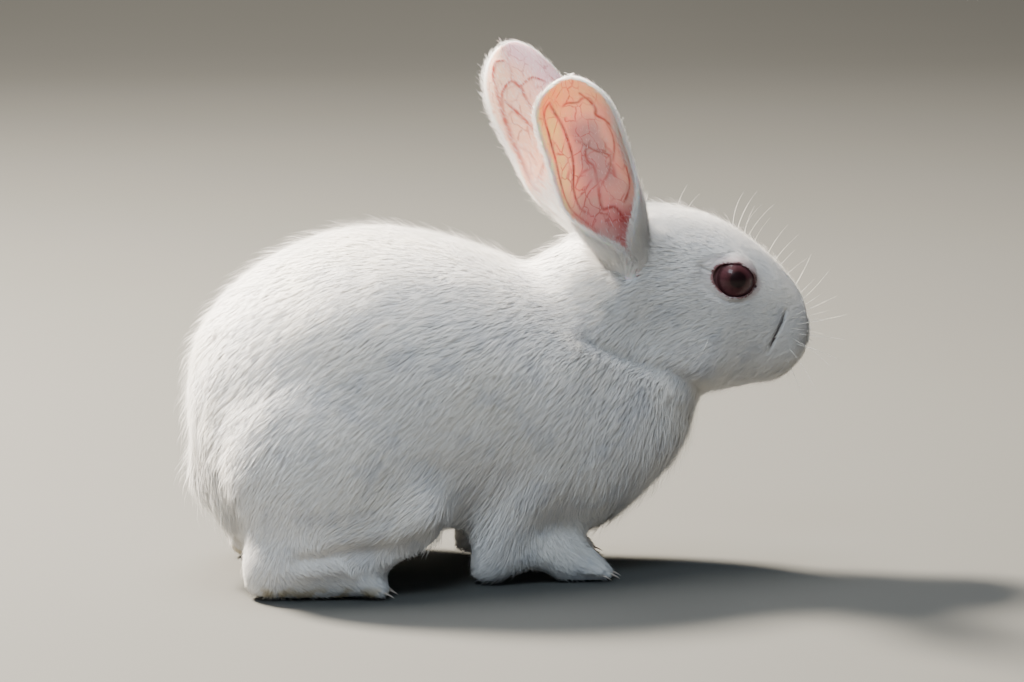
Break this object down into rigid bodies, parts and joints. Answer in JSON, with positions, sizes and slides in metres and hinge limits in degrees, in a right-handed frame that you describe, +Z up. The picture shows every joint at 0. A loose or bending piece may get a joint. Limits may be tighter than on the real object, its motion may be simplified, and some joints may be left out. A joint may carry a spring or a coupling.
{
  "type": "rabbit",
  "caption": "Life-size still model of a young white rabbit, crouched on all fours with its head raised and its ears upright.",
  "frame": {"origin": "on the ground, under the middle of the box round the whole animal", "axes": "+Z up, +X towards the nose, +Y towards the animal's left side"},
  "size_m": [0.2211, 0.1037, 0.1838],
  "materials": {
    "white_coat": "soft white fur, finely tufted",
    "ear_skin": "thin pink skin with red veins and short white down",
    "eye_ruby": "wet and clear over a dark ruby iris"
  },
  "bodies": {
    "root": {"head": "white_coat", "neck": "white_coat", "trunk": "white_coat", "tail": "white_coat", "foreleg_right": "white_coat", "foreleg_left": "white_coat", "forefoot_right": "white_coat", "forefoot_left": "white_coat", "hindleg_right": "white_coat", "hindleg_left": "white_coat", "hindfoot_right": "white_coat", "hindfoot_left": "white_coat", "ear_right": "ear_skin", "ear_left": "ear_skin", "eye_right": "eye_ruby", "eye_left": "eye_ruby"}
  },
  "joints": []
}
